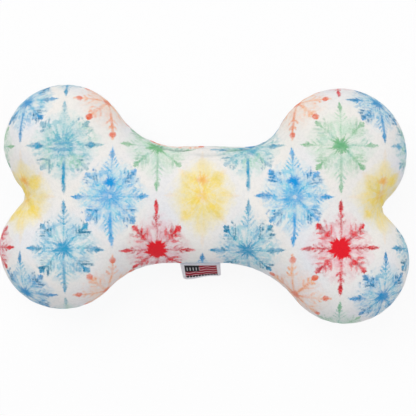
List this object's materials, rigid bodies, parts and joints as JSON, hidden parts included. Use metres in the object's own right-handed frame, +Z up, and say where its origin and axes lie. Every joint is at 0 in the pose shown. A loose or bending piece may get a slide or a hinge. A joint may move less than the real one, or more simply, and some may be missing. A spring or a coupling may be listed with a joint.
{
  "type": "plush bone dog toy",
  "caption": "Stuffed bone-shaped plush dog toy with printed fabric panels, a sewn-in folded label, fibre filling and a press squeaker inside.",
  "frame": {"origin": "middle of the surface that the toy lies on, below the middle of its outline", "axes": "+X along the bone, +Y across it towards the edge that has no label, +Z up through its thickness towards the front panel"},
  "size_m": [0.2529, 0.1481, 0.0615],
  "materials": {
    "plush_print": "matte",
    "thread": "matte",
    "ribbon": "matte",
    "fibre": "matte",
    "squeaker_plastic": "satin",
    "plug_plastic": "satin",
    "reed_brass": "polished"
  },
  "bodies": {
    "cover": {"front_panel": "plush_print", "back_panel": "plush_print", "needle_thread": "thread", "bobbin_thread": "thread", "closing_thread": "thread", "label_root": "ribbon", "fill_upper_left": "fibre", "fill_lower_left": "fibre", "fill_upper_right": "fibre", "fill_lower_right": "fibre", "fill_shaft_front": "fibre", "fill_shaft_back": "fibre", "squeaker_base": "squeaker_plastic", "squeaker_pleats": "squeaker_plastic", "reed_plug": "plug_plastic", "reed_cap": "plug_plastic"},
    "label": {"label_tab": "ribbon"},
    "crown": {"squeaker_crown": "squeaker_plastic"},
    "reed_blade": {"reed": "reed_brass"}
  },
  "joints": [
    {"name": "label_flap", "type": "hinge", "parent": "cover", "child": "label", "pos_m": [-0.00252, -0.0376, 0.0305], "axis": [1, 0, 0], "range_deg": [-130, 35], "stiffness_Nm_per_rad": 0.001},
    {"name": "crown_press", "type": "slide", "parent": "cover", "child": "crown", "axis": [0, 0, -1], "range_m": [0, 0.008], "stiffness_N_per_m": 500, "deforming": ["squeaker_pleats"]},
    {"name": "reed_buzz", "type": "hinge", "parent": "cover", "child": "reed_blade", "pos_m": [-0.00453, -0.00035, 0.02233], "axis": [0, 1, 0], "range_deg": [-1.5, 1.5], "stiffness_Nm_per_rad": 0.002}
  ]
}
